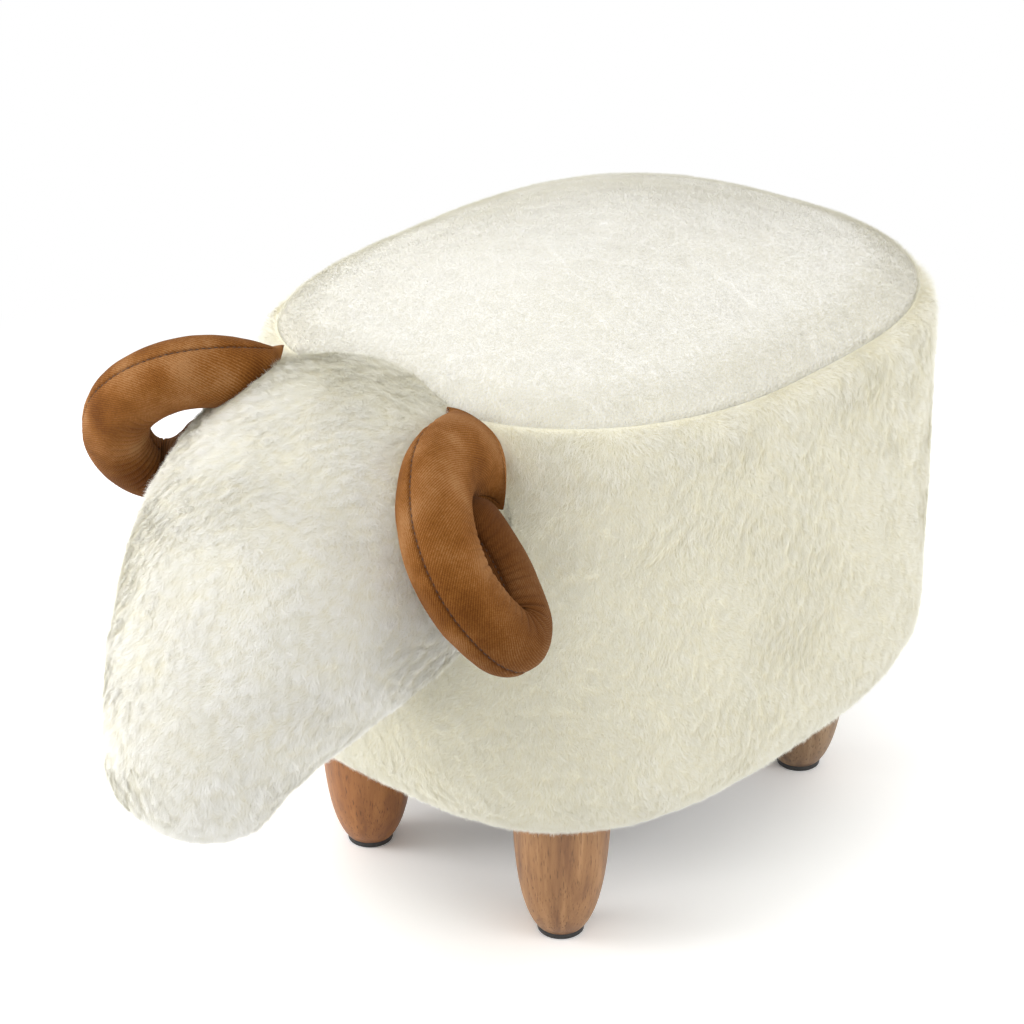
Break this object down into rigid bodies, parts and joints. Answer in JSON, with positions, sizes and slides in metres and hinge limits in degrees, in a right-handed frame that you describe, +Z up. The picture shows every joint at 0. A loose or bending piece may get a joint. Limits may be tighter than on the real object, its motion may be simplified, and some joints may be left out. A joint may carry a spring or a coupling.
{
  "type": "animal footstool",
  "caption": "Upholstered ram footstool: padded oval seat in cream pile fabric on turned wooden legs, with a stuffed faceless head and brown curled horns at one end.",
  "frame": {"origin": "on the floor, under the middle of the overall bounding box", "axes": "+Z up, -Y towards the head, +X towards the animal's left side"},
  "size_m": [0.31, 0.5646, 0.373],
  "materials": {
    "cream_pile": "short soft pile",
    "brown_nap": "short nap",
    "leg_wood": "satin lacquer",
    "black_pad": "matte",
    "black_lining": "thin felted cloth",
    "board_wood": "raw",
    "hardboard": "raw",
    "foam": "open-cell foam",
    "fibre_fill": "loose polyester fibre",
    "steel": "zinc plated"
  },
  "bodies": {
    "root": {"base_board": "board_wood", "seat_board": "board_wood", "post_front_left": "board_wood", "post_front_right": "board_wood", "post_rear_left": "board_wood", "post_rear_right": "board_wood", "post_front_end": "board_wood", "post_rear_end": "board_wood", "batten_front": "board_wood", "batten_rear": "board_wood", "side_wall": "hardboard", "wall_splice": "hardboard", "leg_block_front_left": "board_wood", "leg_block_front_right": "board_wood", "leg_block_rear_left": "board_wood", "leg_block_rear_right": "board_wood", "side_foam": "foam", "seat_foam": "foam", "side_cover": "cream_pile", "top_cover": "cream_pile", "bottom_lining": "black_lining", "head_cover": "cream_pile", "head_fill": "fibre_fill", "horn_left_cover": "brown_nap", "horn_left_fill": "fibre_fill", "horn_right_cover": "brown_nap", "horn_right_fill": "fibre_fill", "leg_front_left": "leg_wood", "leg_front_right": "leg_wood", "leg_rear_left": "leg_wood", "leg_rear_right": "leg_wood", "foot_pad_front_left": "black_pad", "foot_pad_front_right": "black_pad", "foot_pad_rear_left": "black_pad", "foot_pad_rear_right": "black_pad", "hanger_bolts": "steel", "tee_nuts": "steel", "pad_nails": "steel", "seat_screws": "steel", "base_screws": "steel"}
  },
  "joints": []
}
